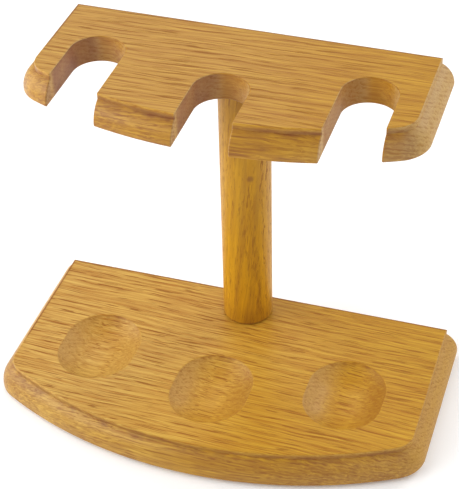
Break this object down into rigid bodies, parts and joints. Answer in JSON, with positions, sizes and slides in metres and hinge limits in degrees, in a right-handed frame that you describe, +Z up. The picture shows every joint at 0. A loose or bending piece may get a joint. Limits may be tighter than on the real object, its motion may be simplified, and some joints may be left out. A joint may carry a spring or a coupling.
{
  "type": "tobacco pipe rack",
  "caption": "Free-standing oak pipe rack: dished cups in a bow-fronted base, open slots in a matching plate above, joined by one round post.",
  "frame": {"origin": "on the surface the stand rests on, under the middle of its width and of its whole depth", "axes": "+Z up, -Y towards the bowed front and the open ends of the slots, +X to the right seen from the front"},
  "size_m": [0.192, 0.1102, 0.1525],
  "materials": {
    "oak_boards": "satin golden oak stain",
    "oak_post": "satin golden oak stain",
    "beech_pin": "bare beech",
    "screw_steel": "zinc plated",
    "felt": "pressed felt"
  },
  "bodies": {
    "root": {"base": "oak_boards", "post": "oak_post", "rack_plate": "oak_boards", "plate_dowel_pin": "beech_pin", "post_screw": "screw_steel", "felt_pad_back_left": "felt", "felt_pad_back_right": "felt", "felt_pad_front_left": "felt", "felt_pad_front_right": "felt"}
  },
  "joints": []
}
